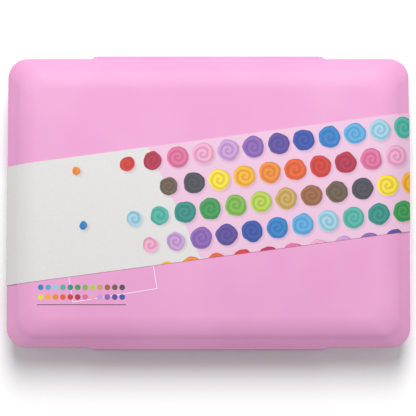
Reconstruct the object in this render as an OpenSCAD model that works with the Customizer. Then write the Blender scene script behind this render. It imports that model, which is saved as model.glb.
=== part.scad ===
// Gouache paint set box.
// A moulded case has a lift-off lid that two long hinged flaps lock to the base.
// Inside, a cup tray holds twenty-four square paint cups and a brush trough.
// A paper sleeve runs aslant round the closed case, slit along the case's seam.
// Millimetres. +X runs along the length, +Y to the far flap and +Z up.
// The origin lies under the middle, on the surface that the sleeve rests on.

/* [Case] */
// Length of the lid and of the base's rim
case_length = 356; // [296:1:430]
// Width of the lid and of the base's rim, without the flaps
case_width = 256; // [213:1:308]
// Plan radius of the corners of the lid and of the base's rim
corner_radius = 17.5; // [14.5:0.5:21]
// Thickness of the walls, the floor and the lid's top
wall = 2; // [1.6:0.1:2.4]

/* [Base] */
// Height of the base, from its underside to the seam
base_height = 28; // [24:0.5:34]
// Radius along the base's bottom edge
bottom_radius = 4; // [2:0.5:5]
// Height of the thick band round the base's mouth
rim_height = 5; // [4:0.5:6]
// How far that band stands out from the base's walls
rim_overhang = 3; // [2:0.25:4]
// Height of the locating lip above the seam
lip_height = 3; // [2:0.25:4]
// Thickness of the locating lip
lip_thickness = 1.5; // [1.2:0.1:1.8]
// Clearance between the lip and the lid's skirt, on each side
lip_clearance = 0.3; // [0.2:0.05:0.5]

/* [Lid] */
// Height of the lid, from the seam to its flat top
lid_height = 22; // [18.5:0.5:27]
// Width of the sloping ledge round the lid's edge
ledge_width = 9; // [7.5:0.5:11]
// Slope of the ledge, in degrees
ledge_slope = 30; // [24:1:34]
// Width of the curved shoulder between the ledge and the flat top
shoulder_width = 19; // [15.5:0.5:23]
// Radius of the shoulder's curve
shoulder_radius = 42; // [35:1:51]
// Height of the small step where the shoulder rises from the ledge
crease_step = 0.5; // [0.3:0.1:0.8]
// Radius between the lid's skirt and its ledge
edge_radius = 2; // [1.5:0.25:3]
// Gap between the lid and the base's rim
seam_gap = 0.05; // [0.02:0.01:0.1]

/* [Flaps] */
// Length of each locking flap
flap_length = 197.2; // [164:0.2:236]
// How far a flap stands out from the lid's edge
flap_reach = 2.65; // [2.65:0.05:3.2]
// Thickness of a flap's plate
flap_thickness = 1.9; // [1.5:0.05:2.3]
// Height of a flap below its hinge line
flap_drop = 26; // [21.5:0.5:31.5]
// Radius of the bead along the hinge line
bead_radius = 1.3; // [1.1:0.05:1.3]
// Depth of the hinge line below the ledge's outer edge
hinge_depth = 1.2; // [0.8:0.1:1.6]
// Radius of the hinge pins
pin_radius = 0.8; // [0.6:0.05:0.9]
// Length of the hinge pins
pin_length = 1.9; // [1.5:0.1:2.2]
// Radial clearance round the pins
pin_clearance = 0.05; // [0.03:0.01:0.1]
// Gap between a flap's end and its ear
ear_gap = 0.2; // [0.1:0.05:0.4]
// Width of an ear at its outer face
ear_width = 2.2; // [2:0.1:3]
// Thickness of the hook along a flap
hook_thickness = 1.6; // [1.2:0.1:2]
// How far the hook reaches in under the base's rim
hook_grip = 1.2; // [0.8:0.1:1.5]
// Gap between the hook and the underside of the rim
hook_clearance = 0.3; // [0.2:0.05:0.5]

/* [Cup tray] */
// Columns of cups along the length
cup_columns = 6; // [6]
// Rows of cups across the width
cup_rows = 4; // [4]
// Clearance between the tray's plate and the base's walls
tray_clearance = 0.8; // [0.4:0.1:1.2]
// Thickness of the tray's plate
tray_plate = 1.6; // [1.2:0.1:2]
// Thickness of the tray's wells and trough
tray_wall = 1.2; // [1:0.1:1.4]
// Depth of the tray's plate below the seam
tray_depth = 3.5; // [3:0.25:4.5]
// Margin between the plate's short edges and the cups
end_margin = 10.2; // [8:0.2:14]
// Margin between the plate's long edges and the cups or the trough
side_margin = 9.7; // [8:0.1:12]
// Width of the brush trough
trough_width = 28; // [23:1:34]
// Depth of the brush trough below the plate's top
trough_depth = 16; // [13:1:19]
// Distance between the trough and the nearest cups
trough_gap = 5; // [4:0.5:8]
// Running gap between pieces that rest on each other
rest_gap = 0.05; // [0.03:0.01:0.1]

/* [Cups] */
// Distance between neighbouring cups' flanges
cup_spacing = 5; // [4:0.25:7]
// How far a cup's flange stands out from its body
cup_flange = 1.75; // [1.5:0.25:2]
// Thickness of a cup's flange and of its floor
cup_floor = 1; // [0.8:0.1:1.2]
// Thickness of a cup's walls
cup_wall = 1; // [0.8:0.1:1.2]
// Clearance between a cup and its well, on each side
cup_clearance = 0.4; // [0.3:0.05:0.6]
// Radius of a cup's inner corners
cup_radius = 4; // [2:0.5:6]
// Distance from a cup's rim down to the paint
paint_drop = 2.6; // [2:0.1:3.5]

/* [Paper sleeve] */
// Thickness of the sleeve's paper
sleeve_thickness = 0.4; // [0.3:0.05:0.6]
// Gap between the sleeve and the case
sleeve_gap = 0.1; // [0.05:0.05:0.3]
// Width of the sleeve, measured along the case's short side
sleeve_width = 105; // [80:1:130]
// How far the sleeve climbs from its left end to its right end
sleeve_climb = 47.7; // [20:0.1:60]
// Shift of the sleeve's middle from the case's middle
sleeve_shift = 3; // [-10:0.5:10]
// Gap between the sleeve's two halves at the seam
sleeve_slit = 0.2; // [0.1:0.05:0.4]

/* [Hidden] */
$fn = 96;
// Overlap that makes cuts and joins clean
eps = 0.01;
ARC_STEPS = 5;
SLEEVE_ARC_STEPS = 8;

CASE_COLOR = "#eaa4d6";
TRAY_COLOR = "#d86fb4";
CUP_COLOR = "#f4f1f4";
PAPER_COLOR = "#e2e1df";
// The paints, from the far row's left end to the near row's right end
PAINT_COLORS = [
    "#1d1c20", "#4a4d55", "#1d6f78", "#6a6a34", "#a2402f", "#ec7a25",
    "#3b3f66", "#2456ad", "#3f9a4a", "#9a4e33", "#ea4f2a", "#f5b431",
    "#6a3f9b", "#22a4d6", "#35b58a", "#c99a35", "#c41f3c", "#f7e033",
    "#b79ad6", "#7cc0ec", "#a8d64a", "#f6c09a", "#eda3c6", "#f7f6f2",
];
cup_count = cup_columns * cup_rows;

function numbered(stem, i) = str(stem, i < 10 ? "0" : "", i);

// Levels, from the surface that the sleeve rests on
base_z = sleeve_thickness + sleeve_gap;
floor_z = base_z + wall;
seam_z = base_z + base_height;
rim_z = seam_z - rim_height;
lid_z = seam_z + seam_gap;
top_z = seam_z + lid_height;

// Base
body_length = case_length - 2 * rim_overhang;
body_width = case_width - 2 * rim_overhang;
body_radius = corner_radius - rim_overhang;
cavity_length = body_length - 2 * wall;
cavity_width = body_width - 2 * wall;
cavity_radius = body_radius - wall;
lip_inset = wall + lip_clearance;

// Lid, in distances u inward from its edge
shoulder_inset = ledge_width + shoulder_width;
shoulder_z = top_z - shoulder_radius;
crease_z = shoulder_z + sqrt(pow(shoulder_radius, 2) - pow(shoulder_width, 2));
crease_angle = acos(shoulder_width / shoulder_radius);
ledge_edge_z = crease_z - crease_step - ledge_width * tan(ledge_slope);
// The ledge runs on a little under the shoulder, and fills the corners up to a level cap
ledge_run = ledge_width + crease_step;
cap_z = ledge_edge_z + ledge_run * tan(ledge_slope);
shoulder_dip = 1.5;
edge_tangent = edge_radius * tan(45 - ledge_slope / 2);
inner_edge_z = ledge_edge_z + wall * tan(ledge_slope) - wall / cos(ledge_slope);
inner_cap_z = cap_z - wall;
inner_run = (inner_cap_z - inner_edge_z) / tan(ledge_slope);

// Flaps, on the far side
hinge_y = case_width / 2 + flap_reach - bead_radius;
hinge_z = ledge_edge_z - hinge_depth;
plate_outer_y = case_width / 2 + flap_reach;
plate_inner_y = plate_outer_y - flap_thickness;
hook_top_z = rim_z - hook_clearance;
ear_root_y = case_width / 2 - wall * 0.6;
ear_inner_x = flap_length / 2 + ear_gap;
ear_outer_x = ear_inner_x + ear_width;

// Cup tray
tray_length = cavity_length - 2 * tray_clearance;
tray_width = cavity_width - 2 * tray_clearance;
tray_radius = cavity_radius - tray_clearance;
tray_top_z = seam_z - tray_depth;
column_pitch = (tray_length - 2 * end_margin) / cup_columns;
row_pitch = (tray_width - 2 * side_margin - trough_width - trough_gap) / cup_rows;
trough_length = column_pitch * cup_columns - 2 * cup_spacing;
trough_y = -tray_width / 2 + side_margin + trough_width / 2;

// Cups
flange_length = column_pitch - cup_spacing;
flange_width = row_pitch - cup_spacing;
cup_length = flange_length - 2 * cup_flange;
cup_width = flange_width - 2 * cup_flange;
flange_z = tray_top_z + rest_gap;
rim_top_z = flange_z + cup_floor;
well_floor_z = floor_z + rest_gap + tray_wall;
cup_bottom_z = well_floor_z + rest_gap;
paint_top_z = rim_top_z - paint_drop;

function cup_x(i) = ((i - 1) % cup_columns - (cup_columns - 1) / 2) * column_pitch;
function cup_y(i) = tray_width / 2 - side_margin - (floor((i - 1) / cup_columns) + 0.5) * row_pitch;

// Points of an arc about a centre, with both ends
function arc(centre, radius, from, to, steps) = [
    for (k = [0:steps])
        let (a = from + (to - from) * k / steps)
        centre + radius * [cos(a), sin(a)]
];

// Rectangle with round corners, on the XY plane
module rounded_plan(length, width, radius) {
    square([length - 2 * radius, width], center = true);
    square([length, width - 2 * radius], center = true);
    for (x = [-1, 1], y = [-1, 1])
        translate([x * (length / 2 - radius), y * (width / 2 - radius)])
            circle(radius);
}

module rounded_block(length, width, radius, bottom, top) {
    translate([0, 0, bottom])
        linear_extrude(top - bottom)
            rounded_plan(length, width, radius);
}

// A profile carried round a rectangle with round corners, and the block in its middle.
// The profile's x is the distance out from the corner's centre, and its y is the height.
module carried_round(length, width, inset, bottom, top) {
    translate([0, 0, (bottom + top) / 2])
        cube([length - 2 * inset, width - 2 * inset, top - bottom], center = true);
    for (side = [0:3]) {
        reach = (side % 2 == 0 ? length : width) / 2 - inset;
        span = (side % 2 == 0 ? width : length) - 2 * inset;
        rotate([0, 0, 90 * side]) {
            translate([reach, 0, 0])
                rotate([90, 0, 0])
                    linear_extrude(span, center = true)
                        children();
            translate([reach, span / 2, 0])
                rotate_extrude(angle = 90)
                    children();
        }
    }
}

// Base: walls on a floor with a rounded bottom edge, a thick rim and a locating lip
module base_shell() {
    color(CASE_COLOR)
        difference() {
            union() {
                carried_round(body_length, body_width, body_radius, base_z, rim_z + eps)
                    polygon(concat(
                        [[0, base_z]],
                        arc([body_radius - bottom_radius, base_z + bottom_radius],
                            bottom_radius, -90, 0, ARC_STEPS),
                        [[body_radius, rim_z + eps], [0, rim_z + eps]]
                    ));
                rounded_block(case_length, case_width, corner_radius, rim_z, seam_z);
                rounded_block(case_length - 2 * lip_inset, case_width - 2 * lip_inset,
                    corner_radius - lip_inset, seam_z - eps, seam_z + lip_height);
            }
            rounded_block(cavity_length, cavity_width, cavity_radius, floor_z, seam_z + 1);
            rounded_block(
                case_length - 2 * (lip_inset + lip_thickness),
                case_width - 2 * (lip_inset + lip_thickness),
                corner_radius - lip_inset - lip_thickness,
                seam_z, seam_z + lip_height + 1);
        }
}

// Solid with the lid's outer shape: skirt, rounded edge, ledge, shoulder and flat top
module lid_outside() {
    edge_centre = [corner_radius - edge_radius, ledge_edge_z - edge_tangent];
    carried_round(case_length, case_width, corner_radius, lid_z, cap_z)
        polygon(concat(
            [[0, lid_z], [corner_radius, lid_z]],
            arc(edge_centre, edge_radius, 0, 90 - ledge_slope, ARC_STEPS),
            [[corner_radius - ledge_run, cap_z], [0, cap_z]]
        ));
    carried_round(case_length, case_width, shoulder_inset, crease_z - shoulder_dip, top_z)
        shoulder_profile(shoulder_radius, crease_z - shoulder_dip);
}

// Solid with the lid's inner shape, one wall inside the outer one
module lid_inside() {
    inner_radius = corner_radius - wall;
    carried_round(case_length - 2 * wall, case_width - 2 * wall, inner_radius, lid_z - 1, inner_cap_z)
        polygon([
            [0, lid_z - 1],
            [inner_radius, lid_z - 1],
            [inner_radius, inner_edge_z],
            [inner_radius - inner_run, inner_cap_z],
            [0, inner_cap_z]
        ]);
    carried_round(case_length, case_width, shoulder_inset, lid_z - 1, top_z - wall)
        shoulder_profile(shoulder_radius - wall, lid_z - 1);
}

// Cross-section of the shoulder, from its highest line outward
module shoulder_profile(radius, bottom) {
    intersection() {
        translate([0, shoulder_z])
            circle(radius);
        translate([0, bottom])
            square([shoulder_width, top_z - bottom]);
    }
}

// Ear with a slanted outer end, at a flap's right end on the far side
module ear() {
    slant = plate_outer_y - ear_root_y;
    intersection() {
        translate([0, 0, hinge_z - 2 * bead_radius])
            linear_extrude(4 * bead_radius)
                polygon([
                    [ear_inner_x, ear_root_y],
                    [ear_inner_x, plate_outer_y + eps],
                    [ear_outer_x, plate_outer_y + eps],
                    [ear_outer_x + slant, ear_root_y]
                ]);
        along_x(ear_inner_x - 1, ear_outer_x + slant + 1)
            union() {
                translate([hinge_y, hinge_z])
                    circle(bead_radius);
                translate([ear_root_y - 1, hinge_z - bead_radius])
                    square([hinge_y - ear_root_y + 1, 2 * bead_radius]);
            }
    }
}

// A drawing of the YZ plane, extruded along X
module along_x(from, to) {
    translate([from, 0, 0])
        rotate([90, 0, 90])
            linear_extrude(to - from)
                children();
}

// The same thing at all four flap ends
module at_flap_ends() {
    for (x = [0, 1], y = [0, 1])
        mirror([x, 0, 0])
            mirror([0, y, 0])
                children();
}

// Lid: a hollow shell with four ears that carry the flaps
module lid() {
    color(CASE_COLOR)
        difference() {
            union() {
                difference() {
                    lid_outside();
                    lid_inside();
                }
                at_flap_ends()
                    ear();
            }
            at_flap_ends()
                translate([ear_inner_x - 1, hinge_y, hinge_z])
                    rotate([0, 90, 0])
                        cylinder(h = 1 + pin_length - ear_gap + rest_gap,
                            r = pin_radius + pin_clearance);
        }
}

// Locking flap of the far side: bead, plate and hook, with a pin at each end
module latch() {
    color(CASE_COLOR) {
        along_x(-flap_length / 2, flap_length / 2)
            union() {
                translate([hinge_y, hinge_z])
                    circle(bead_radius);
                translate([plate_inner_y, hinge_z - flap_drop])
                    square([flap_thickness, flap_drop]);
                translate([case_width / 2 - hook_grip, hook_top_z - hook_thickness])
                    square([plate_inner_y - case_width / 2 + hook_grip + eps, hook_thickness]);
            }
        translate([-flap_length / 2 - pin_length, hinge_y, hinge_z])
            rotate([0, 90, 0])
                cylinder(h = flap_length + 2 * pin_length, r = pin_radius);
    }
}

// Cup tray: a plate with a well for each cup and a trough for brushes
module cup_tray() {
    trough_floor_z = tray_top_z - trough_depth;
    well_radius = cup_radius + cup_wall + cup_clearance;
    trough_radius = cup_radius;
    color(TRAY_COLOR)
        difference() {
            union() {
                rounded_block(tray_length, tray_width, tray_radius, tray_top_z - tray_plate, tray_top_z);
                tray_hollows(tray_wall, well_radius, trough_radius,
                    well_floor_z - tray_wall, trough_floor_z - tray_wall, tray_top_z - eps);
            }
            tray_hollows(0, well_radius, trough_radius, well_floor_z, trough_floor_z, tray_top_z + 1);
        }
}

// The wells and the trough as blocks, grown sideways by a margin
module tray_hollows(grow, well_radius, trough_radius, well_bottom, trough_bottom, top) {
    well_margin = 2 * (cup_clearance + grow);
    for (i = [1:cup_count])
        translate([cup_x(i), cup_y(i), 0])
            rounded_block(cup_length + well_margin, cup_width + well_margin,
                well_radius + grow, well_bottom, top);
    translate([0, trough_y, 0])
        rounded_block(trough_length + 2 * grow, trough_width + 2 * grow,
            trough_radius + grow, trough_bottom, top);
}

// Paint cup: a square cup that hangs in its well by a flange
module cup(i) {
    outer_radius = cup_radius + cup_wall;
    color(CUP_COLOR)
        translate([cup_x(i), cup_y(i), 0])
            difference() {
                union() {
                    rounded_block(flange_length, flange_width, outer_radius + cup_flange / 2,
                        flange_z, rim_top_z);
                    rounded_block(cup_length, cup_width, outer_radius, cup_bottom_z, flange_z + eps);
                }
                rounded_block(cup_length - 2 * cup_wall, cup_width - 2 * cup_wall, cup_radius,
                    cup_bottom_z + cup_floor, rim_top_z + 1);
            }
}

// The paint in a cup
module paint(i) {
    inset = cup_wall + rest_gap;
    color(PAINT_COLORS[i - 1])
        translate([cup_x(i), cup_y(i), 0])
            rounded_block(cup_length - 2 * inset, cup_width - 2 * inset, cup_radius - rest_gap,
                cup_bottom_z + cup_floor + rest_gap, paint_top_z);
}

// Cross-section of the sleeve's hollow, grown by a margin: flat under the base, upright at
// the rim, then straight over the ledge to the shoulder, which it meets where it touches
// the curve or, if that is further out, at the shoulder's foot
module sleeve_section(grow) {
    side_x = case_length / 2 + grow;
    fold_z = ledge_edge_z + grow;
    centre = [case_length / 2 - shoulder_inset, shoulder_z];
    radius = shoulder_radius + grow;
    run = [side_x, fold_z] - centre;
    touch_angle = max(crease_angle, atan2(run.y, run.x) + acos(min(1, radius / norm(run))));
    crown = arc(centre, radius, touch_angle, 90, SLEEVE_ARC_STEPS);
    right = concat([[side_x, base_z - grow], [side_x, fold_z]], crown);
    left = [for (k = [len(right) - 1:-1:0]) [-right[k].x, right[k].y]];
    polygon(concat(right, left));
}

// The sleeve's outline seen from above: a band with slanted edges
module sleeve_plan() {
    end_x = case_length / 2;
    reach_x = end_x + 2;
    climb = sleeve_climb / 2 * reach_x / end_x;
    polygon([
        [-reach_x, sleeve_shift - sleeve_width / 2 - climb],
        [reach_x, sleeve_shift - sleeve_width / 2 + climb],
        [reach_x, sleeve_shift + sleeve_width / 2 + climb],
        [-reach_x, sleeve_shift + sleeve_width / 2 - climb]
    ]);
}

// The part of the sleeve between two heights
module sleeve_piece(bottom, top) {
    color(PAPER_COLOR)
        intersection() {
            rotate([90, 0, 0])
                linear_extrude(case_width, center = true)
                    difference() {
                        sleeve_section(sleeve_gap + sleeve_thickness);
                        sleeve_section(sleeve_gap);
                    }
            translate([0, 0, bottom])
                linear_extrude(top - bottom)
                    sleeve_plan();
        }
}

// Part of the sleeve that stays with the lid
module sleeve_upper() {
    sleeve_piece(seam_z + sleeve_slit / 2, top_z + 1);
}

// Part of the sleeve that stays with the base
module sleeve_lower() {
    sleeve_piece(-1, seam_z - sleeve_slit / 2);
}

base_shell();
cup_tray();
lid();
mirror([0, 1, 0]) latch();  // latch_front
latch();  // latch_rear
sleeve_upper();
sleeve_lower();
for (i = [1:cup_count]) {
    cup(i);
    paint(i);
}
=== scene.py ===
from math import acos, atan2, cos, hypot, pi, radians, sin, sqrt, tan

import bmesh
import bpy
from mathutils import Matrix, Vector


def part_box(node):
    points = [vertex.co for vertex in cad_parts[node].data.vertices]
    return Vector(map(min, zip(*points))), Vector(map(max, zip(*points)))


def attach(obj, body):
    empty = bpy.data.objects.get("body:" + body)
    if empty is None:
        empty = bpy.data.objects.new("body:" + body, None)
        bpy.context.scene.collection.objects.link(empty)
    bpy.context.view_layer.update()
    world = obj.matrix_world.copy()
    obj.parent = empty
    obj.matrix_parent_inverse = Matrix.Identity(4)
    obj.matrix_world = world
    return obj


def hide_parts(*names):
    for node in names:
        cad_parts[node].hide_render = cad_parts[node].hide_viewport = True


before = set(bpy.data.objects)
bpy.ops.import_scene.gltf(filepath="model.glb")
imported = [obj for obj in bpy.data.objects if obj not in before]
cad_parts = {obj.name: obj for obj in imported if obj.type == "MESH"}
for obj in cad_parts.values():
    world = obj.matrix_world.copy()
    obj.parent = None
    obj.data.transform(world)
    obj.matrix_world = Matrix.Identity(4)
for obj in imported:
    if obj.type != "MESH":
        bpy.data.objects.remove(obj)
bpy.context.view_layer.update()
mm = 0.001


# ------------------------------------------------------------------ camera
# The set lies flat and is seen from almost straight above, a little from its near side, through
# a long lens. The photograph is square, and the case takes up 402 of its 416 pixels.

lid_low, lid_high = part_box("lid")
case_length = lid_high.x - lid_low.x
photo_px = 416
case_px = 402.1
centre_px = (208.5, 202.5)
px = case_length / case_px
view_tilt = radians(3.5)
view_distance = 1650 * mm
sensor_width = 36
edge_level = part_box("latch_rear")[1].z

aim = Vector(((photo_px / 2 - centre_px[0]) * px, (centre_px[1] - photo_px / 2) * px, edge_level))
bpy.ops.object.select_all(action="DESELECT")
bpy.ops.object.camera_add(
    location=aim + view_distance * Vector((0, -sin(view_tilt), cos(view_tilt))),
    rotation=(view_tilt, 0, 0),
)
camera = bpy.context.object
camera.name = "camera"
camera.data.sensor_width = sensor_width
camera.data.lens = sensor_width * view_distance / (photo_px * px)
bpy.context.scene.camera = camera


# ------------------------------------------------------------------ floor and light
# A plain white table top, one large oval soft lamp beyond the far side, and pale light all round.
# Where the camera sees it, the table is whiter than any paint, so that it shows pure white where
# no shadow falls on it. Nothing that stands on it gets more light for that.

def linear(hex_colour):
    """An sRGB hex colour as the linear colour that a shader takes."""
    channels = [int(hex_colour[start:start + 2], 16) / 255 for start in (1, 3, 5)]
    return (*[c / 12.92 if c <= 0.04045 else ((c + 0.055) / 1.055) ** 2.4 for c in channels], 1)


def add_node(tree, kind, settings=None, links=None):
    """Adds a node, with its settings, its colour stops, the values on its sockets and its links."""
    node = tree.nodes.new("ShaderNode" + kind)
    for name, value in (settings or {}).items():
        if name == "stops":
            while len(node.color_ramp.elements) < len(value):
                node.color_ramp.elements.new(1)
            for element, (place, colour) in zip(node.color_ramp.elements, value):
                element.position = place
                element.color = linear(colour)
        elif name == "steps":
            node.color_ramp.interpolation = value
        elif isinstance(name, str) and hasattr(node, name):
            setattr(node, name, value)
        else:
            node.inputs[name].default_value = value
    for name, socket in (links or {}).items():
        tree.links.new(socket, node.inputs[name])
    return node


def new_material(name):
    """A material with an empty tree but for its surface shader, and the Object coordinates for it."""
    material = bpy.data.materials.new(name)
    material.use_nodes = True
    tree = material.node_tree
    place = add_node(tree, "TexCoord").outputs["Object"]
    return material, tree, tree.nodes["Principled BSDF"], place


table_size = 8
table_level = -0.2 * mm
table_white = 0.55
table_white_seen = 1.22
lamp_place = Vector((0.05, 1.1, 1.5))
lamp_width = 0.85
lamp_length = 1.7
lamp_power = 29.5
room_light = 0.38
room_light_seen = 1.0

bpy.ops.object.select_all(action="DESELECT")
bpy.ops.mesh.primitive_plane_add(size=table_size, location=(0, 0, table_level))
table = bpy.context.object
table.name = "table_top"
table_paint, tree, shader = new_material("matt_white_table_paint")[:3]
camera_ray = add_node(tree, "LightPath").outputs["Is Camera Ray"]
whiteness = add_node(tree, "MapRange", {"To Min": table_white, "To Max": table_white_seen},
                     {"Value": camera_ray})
tree.links.new(whiteness.outputs[0], shader.inputs["Base Color"])
shader.inputs["Roughness"].default_value = 0.9
shader.inputs["Specular IOR Level"].default_value = 0
table.data.materials.append(table_paint)

bpy.ops.object.light_add(type="AREA", location=lamp_place)
lamp = bpy.context.object
lamp.name = "soft_lamp"
lamp.rotation_euler = (-lamp_place).to_track_quat("-Z", "Y").to_euler()
lamp.data.shape = "ELLIPSE"
lamp.data.size = lamp_width
lamp.data.size_y = lamp_length
lamp.data.energy = lamp_power

world = bpy.data.worlds.new("pale_room")
world.use_nodes = True
bpy.context.scene.world = world
sky = world.node_tree
seen_directly = add_node(sky, "LightPath").outputs["Is Camera Ray"]
strength = add_node(sky, "MapRange", {"To Min": room_light, "To Max": room_light_seen},
                    {"Value": seen_directly})
sky.links.new(strength.outputs[0], sky.nodes["Background"].inputs["Strength"])
sky.nodes["Background"].inputs["Color"].default_value = linear("#ffffff")
bpy.context.scene.view_settings.view_transform = "Standard"


# ------------------------------------------------------------------ base
# The lower half of the case: one moulding of polypropylene with a floor, walls, a thick band
# round the mouth that the flaps hook under, and a lip that locates the lid.

def start_piece(name, add, **options):
    """Adds a primitive with nothing else selected, and opens it for editing."""
    bpy.ops.object.select_all(action="DESELECT")
    add(**options)
    piece = bpy.context.object
    piece.name = name
    piece.data.name = name
    bpy.ops.object.mode_set(mode="EDIT")
    return piece


def pick(piece, kind, test):
    """Selects just the faces, edges or corners whose middle, and direction, pass the test."""
    mesh = bmesh.from_edit_mesh(piece.data)
    mesh.normal_update()
    bpy.ops.mesh.select_mode(type=kind)
    bpy.ops.mesh.select_all(action="DESELECT")
    if kind == "FACE":
        for face in mesh.faces:
            face.select_set(test(face.calc_center_median(), face.normal))
    elif kind == "EDGE":
        for edge in mesh.edges:
            a, b = (corner.co for corner in edge.verts)
            edge.select_set(test((a + b) / 2, (b - a).normalized()))
    else:
        for corner in mesh.verts:
            corner.select_set(test(corner.co, corner.normal))
    bmesh.update_edit_mesh(piece.data)


def rounded_box(name, length, width, bottom, top, radius, segments=12):
    """A box whose upright edges are round, left open for editing."""
    piece = start_piece(name, bpy.ops.mesh.primitive_cube_add, size=1)
    bpy.ops.transform.resize(value=(length, width, top - bottom), center_override=(0, 0, 0))
    bpy.ops.transform.translate(value=(0, 0, (top + bottom) / 2))
    pick(piece, "EDGE", lambda middle, along: abs(along.z) > 0.9)
    bpy.ops.mesh.bevel(offset=radius, segments=segments, affect="EDGES")
    return piece


def push(distance):
    """Extrudes the selected face straight up, or down where the distance is negative."""
    bpy.ops.mesh.extrude_region_move(TRANSFORM_OT_translate={"value": (0, 0, distance)})


def roll_in(radius, outward, steps=5):
    """Carries the selected face round a quarter turn, inward and on along or against its normal."""
    for k in range(steps):
        a, b = radians(90 * k / steps), radians(90 * (k + 1) / steps)
        bpy.ops.mesh.inset(
            thickness=radius * (cos(a) - cos(b)), depth=outward * radius * (sin(b) - sin(a)))


def finish_piece(piece, edge, angle=35):
    """Leaves edit mode, rounds the sharp edges and shades what is round smooth."""
    bpy.ops.mesh.select_all(action="SELECT")
    bpy.ops.mesh.normals_make_consistent(inside=False)
    bpy.ops.object.mode_set(mode="OBJECT")
    bpy.ops.object.modifier_add(type="BEVEL")
    bevel = piece.modifiers[-1]
    bevel.width = edge
    bevel.segments = 2
    bevel.limit_method = "ANGLE"
    bevel.angle_limit = radians(angle)
    bpy.ops.object.modifier_apply(modifier=bevel.name)
    bpy.ops.object.shade_smooth_by_angle(angle=radians(angle))


base_low, base_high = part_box("base_shell")
case_width = base_high.y - base_low.y
wall = 2 * mm
corner_radius = 17.5 * mm
rim_height = 5 * mm
rim_overhang = 3 * mm
bottom_radius = 4 * mm
lip_height = 3 * mm
lip_thickness = 1.5 * mm
lip_inset = wall + 0.3 * mm
floor_radius = 2 * mm
seam_level = base_high.z - lip_height
rim_level = seam_level - rim_height
floor_level = base_low.z + wall

base = rounded_box("case_base", case_length, case_width, rim_level, seam_level, corner_radius)
pick(base, "FACE", lambda middle, normal: normal.z < -0.9)
bpy.ops.mesh.inset(thickness=rim_overhang)
push(base_low.z + bottom_radius - rim_level)
roll_in(bottom_radius, outward=1)
pick(base, "FACE", lambda middle, normal: normal.z > 0.9)
bpy.ops.mesh.inset(thickness=lip_inset)
push(lip_height)
bpy.ops.mesh.inset(thickness=lip_thickness)
push(-lip_height)
bpy.ops.mesh.inset(thickness=rim_overhang + wall - lip_inset - lip_thickness)
push(floor_level + floor_radius - seam_level)
roll_in(floor_radius, outward=-1)
finish_piece(base, 0.35 * mm)
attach(base, "base")
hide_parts("base_shell")

# Pink polypropylene from a polished mould: satin and even, with a fine grain that only softens
# its shine, and a slow drift of the tint where the melt ran.

drift_length = 70 * mm
grain_width = 0.6 * mm
grain_height = 0.03 * mm
pale_pink = "#eea8d5"
deep_pink = "#eaa1d0"
case_roughness = 0.52


def polypropylene(name, pale, deep, roughness):
    """Moulded plastic: its tint drifts between two colours, and its grain varies the shine."""
    material, tree, shader, place = new_material(name)
    drift = add_node(tree, "TexNoise", {"Scale": 1 / drift_length, "Detail": 2}, {"Vector": place})
    tint = add_node(tree, "ValToRGB", {"stops": [(0.35, pale), (0.65, deep)]},
                    {"Fac": drift.outputs["Fac"]})
    grain = add_node(tree, "TexNoise", {"Scale": 1 / grain_width, "Detail": 3}, {"Vector": place})
    sheen = add_node(tree, "MapRange", {"To Min": roughness - 0.04, "To Max": roughness + 0.06},
                     {"Value": grain.outputs["Fac"]})
    ripple = add_node(tree, "Bump", {"Strength": 0.12, "Distance": grain_height},
                      {"Height": grain.outputs["Fac"]})
    tree.links.new(tint.outputs["Color"], shader.inputs["Base Color"])
    tree.links.new(sheen.outputs[0], shader.inputs["Roughness"])
    tree.links.new(ripple.outputs[0], shader.inputs["Normal"])
    shader.inputs["IOR"].default_value = 1.49
    return material, tree, shader, place, tint.outputs["Color"]


case_pink = polypropylene("polypropylene_moulded_pink", pale_pink, deep_pink, case_roughness)[0]
base.data.materials.append(case_pink)


# ------------------------------------------------------------------ cup tray
# A drawn insert in a deeper pink that drops into the base: a plate with a well for each cup,
# and a trough for brushes along the near side.

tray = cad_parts["cup_tray"].copy()
tray.data = tray.data.copy()
tray.name = "tray_insert"
tray.data.materials.clear()
for key in list(tray.keys()):
    del tray[key]
bpy.context.scene.collection.objects.link(tray)
tray.parent = None
bpy.ops.object.select_all(action="DESELECT")
tray.select_set(True)
bpy.context.view_layer.objects.active = tray
bpy.ops.object.mode_set(mode="EDIT")
bpy.ops.mesh.select_all(action="SELECT")
bpy.ops.mesh.remove_doubles(threshold=0.002 * mm)
bpy.ops.mesh.dissolve_limited(angle_limit=radians(1))
finish_piece(tray, 0.4 * mm)

# Drawn over a smooth form, so it shines more than the case does
tray_pink = polypropylene("polypropylene_drawn_deep_pink", "#da77bb", "#d46db2", 0.42)[0]
tray.data.materials.append(tray_pink)
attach(tray, "base")
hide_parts("cup_tray")


# ------------------------------------------------------------------ cups
# Twenty-four square cups of thin white polypropylene, each hung in its well by a flange.

cup_low, cup_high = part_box("cup_01")
cup_size = cup_high - cup_low
cup_wall = 1 * mm
cup_floor = 1 * mm
cup_flange = 1.75 * mm
cup_radius = 4 * mm
cup_foot = 1.5 * mm

cup_pattern = rounded_box("cup_pattern", cup_size.x, cup_size.y, cup_high.z - cup_floor, cup_high.z,
                          cup_radius + cup_wall + cup_flange / 2, segments=8)
pick(cup_pattern, "FACE", lambda middle, normal: normal.z < -0.9)
bpy.ops.mesh.inset(thickness=cup_flange)
push(cup_low.z + cup_foot - cup_high.z + cup_floor)
roll_in(cup_foot, outward=1, steps=3)
pick(cup_pattern, "FACE", lambda middle, normal: normal.z > 0.9)
bpy.ops.mesh.inset(thickness=cup_flange + cup_wall)
push(cup_low.z + cup_floor - cup_high.z)
finish_piece(cup_pattern, 0.25 * mm)

# White polypropylene from a finely polished mould, the shiniest plastic of the set
cup_white = polypropylene("polypropylene_moulded_white", "#f7f5f8", "#f1eef3", 0.35)[0]
cup_pattern.data.materials.append(cup_white)


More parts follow.
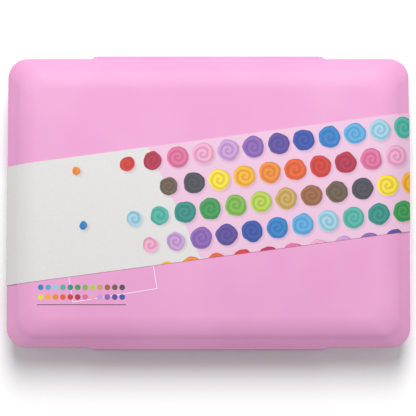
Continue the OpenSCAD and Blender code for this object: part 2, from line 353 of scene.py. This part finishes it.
def middle_of(node):
    """The middle of a CAD node's box."""
    low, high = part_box(node)
    return (low + high) / 2


def copy_to(pattern, name, shift):
    """A copy with its own mesh, moved by a shift inside its mesh."""
    piece = pattern.copy()
    piece.data = pattern.data.copy()
    piece.name = name
    piece.data.name = name
    piece.data.transform(Matrix.Translation(shift))
    bpy.context.scene.collection.objects.link(piece)
    return piece


cup_names = ["cup_%02d" % number for number in range(1, 25)]
for node in cup_names:
    shift = middle_of(node)
    shift.z = 0
    cup = copy_to(cup_pattern, "square_" + node, shift)
    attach(cup, node)
    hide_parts(node)
bpy.data.objects.remove(cup_pattern)


# ------------------------------------------------------------------ paint
# Each cup holds 30 ml of thick gouache, which the filling nozzle lays down in one flat spiral
# that ends in a small tip. The surface is half dry, so it shines softly on the ridges.

paint_low, paint_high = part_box("paint_01")
paint_size = paint_high - paint_low
top_band = 5 * mm
edge_cuts = 12
swirl_pitch = 5.2 * mm
swirl_height = 0.9 * mm
swirl_share = 0.85
swirl_fade = 1 / 6
swirl_centre = 2 * mm
tip_height = 0.5 * mm
tip_radius = 2.5 * mm
ring_count = 22

paint_pattern = rounded_box("paint_pattern", paint_size.x, paint_size.y, paint_low.z,
                            paint_high.z - swirl_height, cup_radius, segments=7)
pick(paint_pattern, "EDGE", lambda middle, along: max(abs(along.x), abs(along.y)) > 0.999
     and middle.z > paint_low.z + top_band)
bpy.ops.mesh.subdivide(number_cuts=edge_cuts)
pick(paint_pattern, "FACE", lambda middle, normal: normal.z > 0.9)
for ring in range(ring_count):
    push(0)
    left = (ring_count - ring - 0.7) / (ring_count - ring + 0.3)
    bpy.ops.transform.resize(value=(left, left, 1), center_override=(0, 0, 0))
bpy.ops.object.mode_set(mode="OBJECT")
for corner in paint_pattern.data.vertices:
    if corner.co.z > paint_low.z + top_band:
        reach = hypot(corner.co.x, corner.co.y)
        edge = max(abs(corner.co.x) / (paint_size.x / 2), abs(corner.co.y) / (paint_size.y / 2))
        fade = min(1, (1 - edge) / swirl_fade) * min(1, reach / swirl_centre)
        turn = atan2(corner.co.y, corner.co.x)
        wave = 0.5 + 0.5 * cos(turn - 2 * pi * reach / swirl_pitch)
        tip = max(0, 1 - reach / tip_radius)
        corner.co.z += swirl_share * swirl_height * wave * fade + tip_height * tip ** 2
bpy.ops.object.shade_smooth_by_angle(angle=radians(60))


streak_length = 6 * mm
drag_width = 0.9 * mm
drag_height = 0.12 * mm


def gouache(name, colour):
    """Thick half-dry paint: its colour and shine vary in streaks, and fine drag marks cross it."""
    material, tree, shader, place = new_material(name)
    streak = add_node(tree, "TexNoise", {"Scale": 1 / streak_length, "Detail": 4}, {"Vector": place})
    shade = add_node(tree, "MapRange", {"To Min": 0.86, "To Max": 1.12},
                     {"Value": streak.outputs["Fac"]})
    tone = add_node(tree, "HueSaturation", {"Color": linear(colour)}, {"Value": shade.outputs[0]})
    fine = add_node(tree, "TexNoise", {"Scale": 1 / drag_width, "Detail": 3}, {"Vector": place})
    drag = add_node(tree, "Bump", {"Strength": 0.2, "Distance": drag_height},
                    {"Height": fine.outputs["Fac"]})
    gloss = add_node(tree, "MapRange", {"To Min": 0.28, "To Max": 0.5},
                     {"Value": streak.outputs["Fac"]})
    tree.links.new(tone.outputs["Color"], shader.inputs["Base Color"])
    tree.links.new(drag.outputs[0], shader.inputs["Normal"])
    tree.links.new(gloss.outputs[0], shader.inputs["Roughness"])
    shader.inputs["IOR"].default_value = 1.45
    return material


# From the far row's left end to the near row's right end
paint_colours = {
    "black": "#1d1c20", "dark_grey": "#4a4d55", "deep_teal": "#1d6f78",
    "olive": "#6a6a34", "brick_red": "#a2402f", "orange": "#ec7a25",
    "indigo_grey": "#3b3f66", "cobalt_blue": "#2456ad", "grass_green": "#3f9a4a",
    "brown": "#9a4e33", "orange_red": "#ea4f2a", "amber": "#f5b431",
    "violet": "#6a3f9b", "sky_blue": "#22a4d6", "emerald": "#35b58a",
    "yellow_ochre": "#c99a35", "crimson": "#c41f3c", "lemon_yellow": "#f7e033",
    "lilac": "#b79ad6", "light_blue": "#7cc0ec", "lime": "#a8d64a",
    "peach": "#f6c09a", "pink": "#eda3c6", "white": "#f7f6f2",
}
for number, (name, colour) in enumerate(paint_colours.items(), 1):
    node = "paint_%02d" % number
    shift = middle_of(node)
    shift.z = 0
    paint = copy_to(paint_pattern, "gouache_%02d_%s" % (number, name), shift)
    paint.data.materials.append(gouache("gouache_" + name, colour))
    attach(paint, cup_names[number - 1])
    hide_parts(node)
bpy.data.objects.remove(paint_pattern)


# ------------------------------------------------------------------ lid
# The upper half of the case, one thin moulding: an upright skirt, a sloping ledge, a broad
# rounded shoulder and a flat top. Four ears at its long sides hold the flaps' pins.

lid_thickness = wall
ledge_width = 9 * mm
ledge_slope = radians(30)
shoulder_width = 19 * mm
shoulder_radius = 42 * mm
crease_step = 0.5 * mm
crease_blend = 0.8 * mm
edge_radius = 0.6 * mm
edge_steps = 6
shoulder_steps = 16
top_border = 6 * mm

shoulder_level = lid_high.z - shoulder_radius
crease_level = shoulder_level + sqrt(shoulder_radius ** 2 - shoulder_width ** 2)
ledge_edge_level = crease_level - crease_step - ledge_width * tan(ledge_slope)
edge_tangent = edge_radius * tan(pi / 4 - ledge_slope / 2)
skirt_top = ledge_edge_level - edge_tangent


def ledge_at(inset):
    """A point of the sloping ledge: its distance in from the lid's edge, and its height."""
    return inset, ledge_edge_level + inset * tan(ledge_slope)


def shoulder_at(inset):
    """The same for the round shoulder."""
    from_top = ledge_width + shoulder_width - inset
    return inset, shoulder_level + sqrt(shoulder_radius ** 2 - from_top ** 2)


# The lid's cross-section, as distances in from its edge and heights
edge_turns = [(pi / 2 - ledge_slope) * k / edge_steps for k in range(1, edge_steps + 1)]
section = [(edge_radius * (1 - cos(turn)), skirt_top + edge_radius * sin(turn)) for turn in edge_turns]
section += [ledge_at(ledge_width * share) for share in (0.5, 0.75)]
section += [ledge_at(ledge_width - crease_blend), shoulder_at(ledge_width + 1.5 * crease_blend)]
section += [shoulder_at(ledge_width + shoulder_width * k / shoulder_steps)
            for k in range(3, shoulder_steps + 1)]
section += [(ledge_width + shoulder_width + top_border, lid_high.z)]

lid = rounded_box("case_lid", case_length, case_width, lid_low.z, skirt_top, corner_radius,
                  segments=16)
pick(lid, "FACE", lambda middle, normal: normal.z > 0.9)
inset_now, level_now = 0, skirt_top
for inset, level in section:
    push(level - level_now)
    longer = (case_length - 2 * inset) / (case_length - 2 * inset_now)
    wider = (case_width - 2 * inset) / (case_width - 2 * inset_now)
    bpy.ops.transform.resize(value=(longer, wider, 1), center_override=(0, 0, 0))
    inset_now, level_now = inset, level
pick(lid, "FACE", lambda middle, normal: normal.z < -0.9)
bpy.ops.mesh.delete(type="FACE")
bpy.ops.object.mode_set(mode="OBJECT")
bpy.ops.object.modifier_add(type="SOLIDIFY")
lid.modifiers[-1].thickness = lid_thickness
lid.modifiers[-1].offset = -1
lid.modifiers[-1].use_even_offset = True
bpy.ops.object.modifier_apply(modifier=lid.modifiers[-1].name)
bpy.ops.object.mode_set(mode="EDIT")
finish_piece(lid, 0.3 * mm, angle=40)

flap_low, flap_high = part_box("latch_rear")
bead_radius = 1.3 * mm
pin_length = 1.9 * mm
ear_gap = 0.2 * mm
ear_width = 2.2 * mm
hinge_y = flap_high.y - bead_radius
hinge_level = flap_high.z - bead_radius
flap_end = flap_high.x - pin_length
ear_start = flap_end + ear_gap
ear_root = case_width / 2 - 1.2 * mm
ear_depth = flap_high.y - ear_root
steep_slope = radians(60)
steep_start = 1.6 * mm


def slope_off(inset=0):
    """Cuts what is being edited to a top that falls outward, at the ledge's slope and then steeply."""
    for slope, out in ((ledge_slope, 0), (steep_slope, steep_start)):
        outward = Vector((0, sin(slope), cos(slope)))
        on_slope = Vector((0, case_width / 2 + out, ledge_edge_level - out * tan(ledge_slope)))
        bpy.ops.mesh.select_all(action="SELECT")
        bpy.ops.mesh.bisect(plane_co=on_slope - inset * outward, plane_no=outward,
                            clear_outer=True, use_fill=True)


ears = start_piece("lid_ears", bpy.ops.mesh.primitive_cube_add, size=1)
bpy.ops.transform.resize(
    value=(ear_width + ear_depth, ear_depth, 2 * bead_radius), center_override=(0, 0, 0))
bpy.ops.transform.translate(
    value=(ear_start + (ear_width + ear_depth) / 2, ear_root + ear_depth / 2, hinge_level))
pick(ears, "VERT", lambda place, normal: place.x > ear_start + ear_width and place.y > hinge_y)
bpy.ops.transform.translate(value=(-ear_depth, 0, 0))
pick(ears, "EDGE", lambda middle, along: abs(along.x) > 0.9 and middle.y > hinge_y)
bpy.ops.mesh.bevel(offset=0.9 * bead_radius, segments=6, affect="EDGES")
slope_off()
bpy.ops.object.mode_set(mode="OBJECT")
bpy.ops.object.modifier_add(type="MIRROR")
ears.modifiers[-1].use_axis = (True, True, False)
bpy.ops.object.modifier_apply(modifier=ears.modifiers[-1].name)
bpy.ops.object.mode_set(mode="EDIT")
finish_piece(ears, 0.15 * mm)

# A thin cover runs on from the ledge over the groove beside each flap's bead
cover_reach = 0.4 * mm
cover_depth = 0.68 * mm
cover_root = case_width / 2 - 0.5 * mm
cover_top = ledge_edge_level + 0.01 * mm
cover_fall = cover_reach * tan(ledge_slope)
cover_end = case_width / 2 + cover_reach
cover_middle = cover_top - cover_depth / 2

covers = start_piece("hinge_covers", bpy.ops.mesh.primitive_cube_add, size=1)
bpy.ops.transform.resize(
    value=(2 * ear_start, cover_end - cover_root, cover_depth), center_override=(0, 0, 0))
bpy.ops.transform.translate(value=(0, (cover_end + cover_root) / 2, cover_middle))
pick(covers, "VERT", lambda place, normal: place.y > case_width / 2 and place.z < cover_middle)
bpy.ops.transform.translate(value=(0, -cover_reach, 0))
pick(covers, "VERT", lambda place, normal: place.y > case_width / 2 and place.z > cover_middle)
bpy.ops.transform.translate(value=(0, 0, -cover_fall))
bpy.ops.object.mode_set(mode="OBJECT")
bpy.ops.object.modifier_add(type="MIRROR")
covers.modifiers[-1].use_axis = (False, True, False)
bpy.ops.object.modifier_apply(modifier=covers.modifiers[-1].name)
bpy.ops.object.mode_set(mode="EDIT")
finish_piece(covers, 0.06 * mm)
bpy.ops.object.select_all(action="DESELECT")
covers.select_set(True)
ears.select_set(True)
lid.select_set(True)
bpy.context.view_layer.objects.active = lid
bpy.ops.object.join()
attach(lid, "lid")
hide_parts("lid")

# The same polypropylene as the base, pad-printed at the near left corner of the flat top: two
# rows of colour dots over a thin dark rule, and a thin white frame that runs under the sleeve.

frame_ink = "#f6ecf3"
rule_ink = "#4a3044"
print_colours = (
    "#f4dc3a", "#f2b12f", "#ec8a2c", "#e4602c", "#cf3a32", "#b42c4c", "#dd6f9c", "#eda7c8",
    "#c79ad2", "#8a63b4", "#5b4a9c", "#3553a8", "#2f7fc6", "#5aa9dc", "#9accdf", "#4fb3a4",
    "#2f8f86", "#3d9a55", "#7cb84a", "#b4cf4c", "#c8a45a", "#9c6442", "#6b5a4a", "#4a4a55",
)
print_stops = [(k / len(print_colours), colour) for k, colour in enumerate(print_colours)]
dot_rows = 2
dots_per_row = len(print_colours) // dot_rows
dot_pitch = Vector((6.5 * mm, 8.5 * mm, 1))
dot_radius = 2.5 * mm
dots_corner = Vector((-150.5 * mm, -88 * mm, 0))
rule_drop = 2.5 * mm
rule_width = 0.7 * mm
frame_middle = Vector((-85.7 * mm, -60 * mm, 0))
frame_slant = radians(9.2)
frame_reach = Vector((37.4 * mm, 22.5 * mm, 1))
frame_line = 0.6 * mm
print_level = lid_high.z - 1 * mm

lid_pink, tree, shader, place, tint = polypropylene(
    "polypropylene_moulded_pink_printed", pale_pink, deep_pink, case_roughness)
lid.data.materials.append(lid_pink)
measured = add_node(tree, "SeparateXYZ", {}, {0: place}).outputs
outside = add_node(tree, "Math", {"operation": "GREATER_THAN", 1: print_level},
                   {0: measured["Z"]}).outputs[0]

turned = add_node(tree, "Mapping", {"vector_type": "TEXTURE", "Location": frame_middle,
                                    "Rotation": (0, 0, frame_slant)}, {"Vector": place}).outputs[0]
reach = add_node(tree, "VectorMath", {"operation": "ABSOLUTE"}, {0: turned}).outputs[0]
beyond = add_node(tree, "VectorMath", {"operation": "SUBTRACT", 1: frame_reach}, {0: reach}).outputs[0]
beyond = add_node(tree, "SeparateXYZ", {}, {0: beyond}).outputs
farther = add_node(tree, "Math", {"operation": "MAXIMUM"},
                   {0: beyond["X"], 1: beyond["Y"]}).outputs[0]
on_frame = add_node(tree, "Math", {"operation": "COMPARE", 1: 0, 2: frame_line / 2},
                    {0: farther}).outputs[0]
on_frame = add_node(tree, "Math", {"operation": "MULTIPLY"}, {0: on_frame, 1: outside}).outputs[0]
framed = add_node(tree, "Mix", {"data_type": "RGBA", 7: linear(frame_ink)},
                  {0: on_frame, 6: tint}).outputs[2]


def from_middle(tree, cell, pitch):
    """A place's distances from the middle of its cell, where it is counted in cells."""
    part = add_node(tree, "VectorMath", {"operation": "FRACTION"}, {0: cell}).outputs[0]
    part = add_node(tree, "VectorMath", {"operation": "SUBTRACT", 1: (0.5, 0.5, 0)},
                    {0: part}).outputs[0]
    return add_node(tree, "VectorMath", {"operation": "MULTIPLY", 1: (pitch.x, pitch.y, 0)},
                    {0: part}).outputs[0]


def cell_colour(tree, column, row, row_step):
    """The print's colours in turn along a row of cells, each row starting some steps further on."""
    order = add_node(tree, "Math", {"operation": "MULTIPLY_ADD", 1: row_step},
                     {0: row, 2: column}).outputs[0]
    order = add_node(tree, "Math", {"operation": "MULTIPLY_ADD", 1: 1 / len(print_colours),
                                    2: 0.5 / len(print_colours)}, {0: order}).outputs[0]
    order = add_node(tree, "Math", {"operation": "FRACT"}, {0: order}).outputs[0]
    return add_node(tree, "ValToRGB", {"stops": print_stops, "steps": "CONSTANT"},
                    {"Fac": order}).outputs[0]


cell = add_node(tree, "Mapping", {"vector_type": "TEXTURE", "Location": dots_corner,
                                  "Scale": dot_pitch}, {"Vector": place}).outputs[0]
number = add_node(tree, "VectorMath", {"operation": "FLOOR"}, {0: cell}).outputs[0]
number = add_node(tree, "SeparateXYZ", {}, {0: number}).outputs
dot_colour = cell_colour(tree, number["X"], number["Y"], dots_per_row)
inside = from_middle(tree, cell, dot_pitch)
from_dot = add_node(tree, "VectorMath", {"operation": "LENGTH"}, {0: inside}).outputs["Value"]
on_dot = add_node(tree, "Math", {"operation": "LESS_THAN", 1: dot_radius}, {0: from_dot}).outputs[0]
counted = add_node(tree, "SeparateXYZ", {}, {0: cell}).outputs
along = add_node(tree, "Math", {"operation": "COMPARE", 1: dots_per_row / 2, 2: dots_per_row / 2},
                 {0: counted["X"]}).outputs[0]
across = add_node(tree, "Math", {"operation": "COMPARE", 1: dot_rows / 2, 2: dot_rows / 2},
                  {0: counted["Y"]}).outputs[0]
printed_row = add_node(tree, "Math", {"operation": "MULTIPLY"}, {0: along, 1: outside}).outputs[0]
on_dot = add_node(tree, "Math", {"operation": "MULTIPLY"}, {0: on_dot, 1: across}).outputs[0]
on_dot = add_node(tree, "Math", {"operation": "MULTIPLY"}, {0: on_dot, 1: printed_row}).outputs[0]
dotted = add_node(tree, "Mix", {"data_type": "RGBA"}, {0: on_dot, 6: framed, 7: dot_colour}).outputs[2]

on_rule = add_node(tree, "Math", {"operation": "COMPARE", 1: dots_corner.y - rule_drop,
                                  2: rule_width / 2}, {0: measured["Y"]}).outputs[0]
on_rule = add_node(tree, "Math", {"operation": "MULTIPLY"}, {0: on_rule, 1: printed_row}).outputs[0]
printed = add_node(tree, "Mix", {"data_type": "RGBA", 7: linear(rule_ink)},
                   {0: on_rule, 6: dotted}).outputs[2]
tree.links.new(printed, shader.inputs["Base Color"])


# ------------------------------------------------------------------ locking flaps
# A long plate hangs from a round bead along each long side. A hook on its inner face snaps
# under the base's thick band, and a pin at each end turns in the lid's ears.

flap_thickness = 1.9 * mm
flap_corner = 2 * mm
pin_radius = 0.8 * mm
hook_thickness = 1.6 * mm
hook_chamfer = 0.9 * mm
hook_root = 0.5 * mm
hook_grip = 1.2 * mm
hook_clearance = 0.3 * mm
hook_top = rim_level - hook_clearance
hook_end = flap_end - 2 * mm
flap_inner = flap_high.y - flap_thickness
hook_tip = case_width / 2 - hook_grip


def block(name, low, high):
    """A box between two corners, left open for editing."""
    piece = start_piece(name, bpy.ops.mesh.primitive_cube_add, size=1)
    low, high = Vector(low), Vector(high)
    bpy.ops.transform.resize(value=high - low, center_override=(0, 0, 0))
    bpy.ops.transform.translate(value=(low + high) / 2)
    return piece


plate = block("flap_plate", (-flap_end, flap_inner, flap_low.z), (flap_end, flap_high.y, hinge_level))
pick(plate, "EDGE", lambda middle, along: abs(along.y) > 0.9 and middle.z < rim_level)
bpy.ops.mesh.bevel(offset=flap_corner, segments=5, affect="EDGES")
slope_off(inset=0.03 * mm)
finish_piece(plate, 0.3 * mm)
hook = block("flap_hook", (-hook_end, hook_tip, hook_top - hook_thickness),
             (hook_end, flap_inner + hook_root, hook_top))
pick(hook, "EDGE", lambda middle, along: abs(along.x) > 0.9 and middle.y < case_width / 2
     and middle.z < hook_top - hook_thickness / 2)
bpy.ops.mesh.bevel(offset=hook_chamfer, segments=3, affect="EDGES")
finish_piece(hook, 0.2 * mm)
bead = start_piece("flap_bead", bpy.ops.mesh.primitive_cylinder_add, vertices=28, radius=bead_radius,
                   depth=2 * flap_end, rotation=(0, pi / 2, 0), location=(0, hinge_y, hinge_level))
slope_off()
finish_piece(bead, 0.15 * mm)
pin = start_piece("flap_pin", bpy.ops.mesh.primitive_cylinder_add, vertices=20, radius=pin_radius,
                  depth=flap_high.x - flap_low.x, rotation=(0, pi / 2, 0),
                  location=(0, hinge_y, hinge_level))
slope_off(inset=0.05 * mm)
finish_piece(pin, 0.1 * mm)
bpy.ops.object.select_all(action="DESELECT")
for part in (plate, hook, bead, pin):
    part.select_set(True)
bpy.context.view_layer.objects.active = plate
bpy.ops.object.join()
bpy.ops.object.transform_apply(location=True, rotation=True, scale=True)
plate.data.materials.append(case_pink)

for name, turn in (("latch_rear", 0), ("latch_front", pi)):
    flap = copy_to(plate, "locking_flap" + name[5:], Vector())
    flap.data.transform(Matrix.Rotation(turn, 4, "Z"))
    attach(flap, name)
    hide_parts(name)
bpy.data.objects.remove(plate)


# ------------------------------------------------------------------ paper sleeve
# A band of coated card round the closed case, cut aslant so that it climbs from left to right.
# It hugs the lid's shoulder, passes straight over the ledge and folds down the sides. It is slit
# along the seam: the upper part lies on the lid and the lower part is folded round the base.

sleeve_low, sleeve_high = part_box("sleeve_upper")
sleeve_thickness = 0.4 * mm
sleeve_gap = 0.1 * mm
sleeve_width = 105 * mm
sleeve_climb = 47.7 * mm
sleeve_shift = 3 * mm
fold_radius = 0.8 * mm
half_length = case_length / 2
sleeve_grow = sleeve_gap + sleeve_thickness
untrimmed_width = 300 * mm
crown_x = half_length - ledge_width - shoulder_width
crown_radius = shoulder_radius + sleeve_grow
side_x = half_length + sleeve_grow
fold_level = ledge_edge_level + sleeve_grow
reach, drop = side_x - crown_x, fold_level - shoulder_level
touch_angle = max(acos(shoulder_width / shoulder_radius),
                  atan2(drop, reach) + acos(crown_radius / hypot(reach, drop)))
touch_point = Vector((crown_x + crown_radius * cos(touch_angle), 0,
                      shoulder_level + crown_radius * sin(touch_angle)))
straight = Vector((side_x, 0, fold_level)) - touch_point
descent = atan2(-straight.z, straight.x)
tangent = fold_radius * tan((pi / 2 - descent) / 2)


def trim_aslant(piece):
    """Cuts the band's two slanted edges."""
    square_to_edge = Vector((-sleeve_climb, case_length, 0)).normalized()
    for side in (1, -1):
        middle = Vector((0, sleeve_shift + side * sleeve_width / 2, 0))
        bpy.ops.mesh.select_all(action="SELECT")
        bpy.ops.mesh.bisect(plane_co=middle, plane_no=side * square_to_edge, clear_outer=True)


def card_from_surface(piece):
    """Gives the surface the card's thickness, inward, and a second slot for its inside and edges."""
    bpy.ops.mesh.select_all(action="SELECT")
    bpy.ops.mesh.remove_doubles(threshold=0.01 * mm)
    bpy.ops.mesh.normals_make_consistent(inside=False)
    bpy.ops.object.mode_set(mode="OBJECT")
    piece.data.materials.append(None)
    piece.data.materials.append(None)
    bpy.ops.object.modifier_add(type="SOLIDIFY")
    piece.modifiers[-1].thickness = sleeve_thickness
    piece.modifiers[-1].offset = -1
    piece.modifiers[-1].use_even_offset = True
    piece.modifiers[-1].material_offset = 1
    piece.modifiers[-1].material_offset_rim = 1
    bpy.ops.object.modifier_apply(modifier=piece.modifiers[-1].name)
    bpy.ops.object.shade_smooth_by_angle(angle=radians(35))


upper = start_piece("card_sleeve_upper", bpy.ops.mesh.primitive_plane_add, size=1)
bpy.ops.transform.resize(value=(crown_x, untrimmed_width, 1), center_override=(0, 0, 0))
bpy.ops.transform.translate(value=(crown_x / 2, 0, sleeve_high.z))
pick(upper, "EDGE", lambda middle, along: middle.x > 0.9 * crown_x)
bpy.ops.mesh.spin(steps=14, angle=touch_angle - pi / 2, center=(crown_x, 0, shoulder_level),
                  axis=(0, 1, 0))
bpy.ops.mesh.extrude_region_move(
    TRANSFORM_OT_translate={"value": straight * (1 - tangent / straight.length)})
bpy.ops.mesh.spin(steps=5, angle=descent - pi / 2,
                  center=(side_x - fold_radius, 0, fold_level - tangent), axis=(0, 1, 0))
bpy.ops.mesh.extrude_region_move(
    TRANSFORM_OT_translate={"value": (0, 0, sleeve_low.z - fold_level + tangent)})
bpy.ops.object.mode_set(mode="OBJECT")
bpy.ops.object.modifier_add(type="MIRROR")
bpy.ops.object.modifier_apply(modifier=upper.modifiers[-1].name)
bpy.ops.object.mode_set(mode="EDIT")
trim_aslant(upper)
card_from_surface(upper)
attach(upper, "sleeve_upper")
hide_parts("sleeve_upper")

under_low, under_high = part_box("sleeve_lower")
under = start_piece("card_sleeve_lower", bpy.ops.mesh.primitive_plane_add, size=1)
bpy.ops.transform.resize(value=(side_x - fold_radius, untrimmed_width, 1), center_override=(0, 0, 0))
bpy.ops.transform.translate(value=((side_x - fold_radius) / 2, 0, under_low.z))
pick(under, "EDGE", lambda middle, along: middle.x > 0.9 * side_x)
bpy.ops.mesh.spin(steps=5, angle=pi / 2, center=(side_x - fold_radius, 0, under_low.z + fold_radius),
                  axis=(0, 1, 0))
bpy.ops.mesh.extrude_region_move(
    TRANSFORM_OT_translate={"value": (0, 0, under_high.z - under_low.z - fold_radius)})
bpy.ops.object.mode_set(mode="OBJECT")
bpy.ops.object.modifier_add(type="MIRROR")
bpy.ops.object.modifier_apply(modifier=under.modifiers[-1].name)
bpy.ops.object.mode_set(mode="EDIT")
trim_aslant(under)
card_from_surface(under)
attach(under, "sleeve_lower")
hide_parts("sleeve_lower")

# Coated card, left plain on the inside: a soft sheen, and fibres that lift the surface a little.

fibre_length = 1.2 * mm
fibre_height = 0.05 * mm


def coated_card(name):
    """Pale card under a clay coat, its fibres just felt through it."""
    material, tree, shader, place = new_material(name)
    fibre = add_node(tree, "TexNoise", {"Scale": 1 / fibre_length, "Detail": 5}, {"Vector": place})
    tint = add_node(tree, "ValToRGB", {"stops": [(0.3, "#e4e3e1"), (0.7, "#dfdedc")]},
                    {"Fac": fibre.outputs["Fac"]})
    relief = add_node(tree, "Bump", {"Strength": 0.15, "Distance": fibre_height},
                      {"Height": fibre.outputs["Fac"]})
    tree.links.new(tint.outputs["Color"], shader.inputs["Base Color"])
    tree.links.new(relief.outputs[0], shader.inputs["Normal"])
    shader.inputs["Roughness"].default_value = 0.55
    shader.inputs["IOR"].default_value = 1.5
    return material, tree, shader, tint.outputs["Color"]


plain_card = coated_card("card_coated_plain")[0]

# The same card offset printed on its outer face: dabs of paint with a spiral stroke in each, in
# staggered rows along the band, on a pale pink ground that ends aslant. Towards the bare left
# part the dabs thin out and get smaller. The print runs on over the folds and down the sides,
# and the underside is plain.

for sleeve in (upper, under):
    unfolded = sleeve.data.uv_layers.active
    unfolded.name = "unfolded"
    for loop in sleeve.data.loops:
        corner = sleeve.data.vertices[loop.vertex_index].co
        down = max(0, fold_level - corner.z)
        unfolded.data[loop.index].uv = (corner.x + down * (1 if corner.x > 0 else -1), corner.y)
for face in under.data.polygons:
    if face.normal.z < -0.7:
        face.material_index = 1

dab_pitch = Vector((22.5 * mm, 24.5 * mm, 1))
row_shift = 3 * mm
dab_radius = 9.6 * mm
smallest_dab = 2.4 * mm
dab_wander = 3 * mm
wander_length = 9 * mm
edge_inner = -1.3 * mm
edge_outer = -1.6 * mm
spiral_pitch = 4.6 * mm
spiral_dark = 0.78
spiral_light = 1.12
first_column = -6
first_full_column = -1
colour_step = 7
ground_pink = "#edc4de"
ground_start = -1.4
ground_lean = 0.35
shade_pink = "#a8789c"
shade_offset = Vector((1.2 * mm, -1.6 * mm, 0))
shade_blur = 1.5 * mm
shade_depth = 0.35
slant = atan2(sleeve_climb, case_length)

printed_card, tree, shader, tint = coated_card("card_coated_offset_printed")
flat_place = add_node(tree, "UVMap", {"uv_map": "unfolded"}).outputs[0]
band = add_node(tree, "Mapping", {"vector_type": "TEXTURE", "Scale": dab_pitch,
                                  "Location": (0, sleeve_shift + row_shift, 0),
                                  "Rotation": (0, 0, slant)}, {"Vector": flat_place}).outputs[0]
band = add_node(tree, "SeparateXYZ", {}, {0: band}).outputs
row = add_node(tree, "Math", {"operation": "FLOOR"}, {0: band["Y"]}).outputs[0]
odd_row = add_node(tree, "Math", {"operation": "PINGPONG", 1: 1}, {0: row}).outputs[0]
staggered = add_node(tree, "Math", {"operation": "MULTIPLY_ADD", 1: 0.5},
                     {0: odd_row, 2: band["X"]}).outputs[0]
column = add_node(tree, "Math", {"operation": "FLOOR"}, {0: staggered}).outputs[0]
cell = add_node(tree, "CombineXYZ", {}, {0: staggered, 1: band["Y"]}).outputs[0]
inside = from_middle(tree, cell, dab_pitch)

# Which cells hold a dab, and how large it is
cell_number = add_node(tree, "CombineXYZ", {}, {0: column, 1: row}).outputs[0]
chance = add_node(tree, "TexWhiteNoise", {"noise_dimensions": "2D"},
                  {"Vector": cell_number}).outputs["Value"]
thinning = {"From Min": first_column, "From Max": first_full_column}
likely = add_node(tree, "MapRange", {**thinning, "To Min": 0.0, "To Max": 1.01},
                  {"Value": column}).outputs[0]
kept = add_node(tree, "Math", {"operation": "LESS_THAN"}, {0: chance, 1: likely}).outputs[0]
size = add_node(tree, "MapRange", {**thinning, "To Min": smallest_dab, "To Max": dab_radius},
                {"Value": column}).outputs[0]

# The dab's uneven outline, its spiral stroke and its colour
wander = add_node(tree, "TexNoise", {"Scale": 1 / wander_length, "Detail": 1},
                  {"Vector": flat_place}).outputs["Fac"]
reach = add_node(tree, "VectorMath", {"operation": "LENGTH"}, {0: inside}).outputs["Value"]
uneven = add_node(tree, "Math", {"operation": "MULTIPLY_ADD", 1: dab_wander},
                  {0: wander, 2: reach}).outputs[0]
short = add_node(tree, "Math", {"operation": "SUBTRACT"}, {0: size, 1: uneven}).outputs[0]
dab = add_node(tree, "MapRange", {"From Min": edge_outer, "From Max": edge_inner},
               {"Value": short}).outputs[0]
dab = add_node(tree, "Math", {"operation": "MULTIPLY"}, {0: dab, 1: kept}).outputs[0]
parts = add_node(tree, "SeparateXYZ", {}, {0: inside}).outputs
angle = add_node(tree, "Math", {"operation": "ARCTAN2"}, {0: parts["Y"], 1: parts["X"]}).outputs[0]
stroke = add_node(tree, "Math", {"operation": "MULTIPLY_ADD", 1: -2 * pi / spiral_pitch},
                  {0: uneven, 2: angle}).outputs[0]
stroke = add_node(tree, "Math", {"operation": "SINE"}, {0: stroke}).outputs[0]
light = add_node(tree, "MapRange", {"From Min": -1, "To Min": spiral_dark, "To Max": spiral_light},
                 {"Value": stroke}).outputs[0]
dab_colour = cell_colour(tree, column, row, colour_step)
dab_colour = add_node(tree, "HueSaturation", {}, {"Color": dab_colour, "Value": light}).outputs[0]

# The pink ground, and the soft shade that each dab casts on it
border = add_node(tree, "Math", {"operation": "MULTIPLY_ADD", 1: ground_lean},
                  {0: band["Y"], 2: band["X"]}).outputs[0]
ground = add_node(tree, "Math", {"operation": "GREATER_THAN", 1: ground_start},
                  {0: border}).outputs[0]
grounded = add_node(tree, "Mix", {"data_type": "RGBA", 7: linear(ground_pink)},
                    {0: ground, 6: tint}).outputs[2]
beside = add_node(tree, "VectorMath", {"operation": "SUBTRACT", 1: shade_offset},
                  {0: inside}).outputs[0]
beside = add_node(tree, "VectorMath", {"operation": "LENGTH"}, {0: beside}).outputs["Value"]
beside = add_node(tree, "Math", {"operation": "SUBTRACT"}, {0: size, 1: beside}).outputs[0]
shade = add_node(tree, "MapRange", {"From Min": -shade_blur, "From Max": shade_blur,
                                    "To Max": shade_depth}, {"Value": beside}).outputs[0]
shade = add_node(tree, "Math", {"operation": "MULTIPLY"}, {0: shade, 1: kept}).outputs[0]
shaded = add_node(tree, "Mix", {"data_type": "RGBA", 7: linear(shade_pink)},
                  {0: shade, 6: grounded}).outputs[2]
printed = add_node(tree, "Mix", {"data_type": "RGBA"}, {0: dab, 6: shaded, 7: dab_colour}).outputs[2]
tree.links.new(printed, shader.inputs["Base Color"])
for sleeve in (upper, under):
    sleeve.data.materials[0] = printed_card
    sleeve.data.materials[1] = plain_card
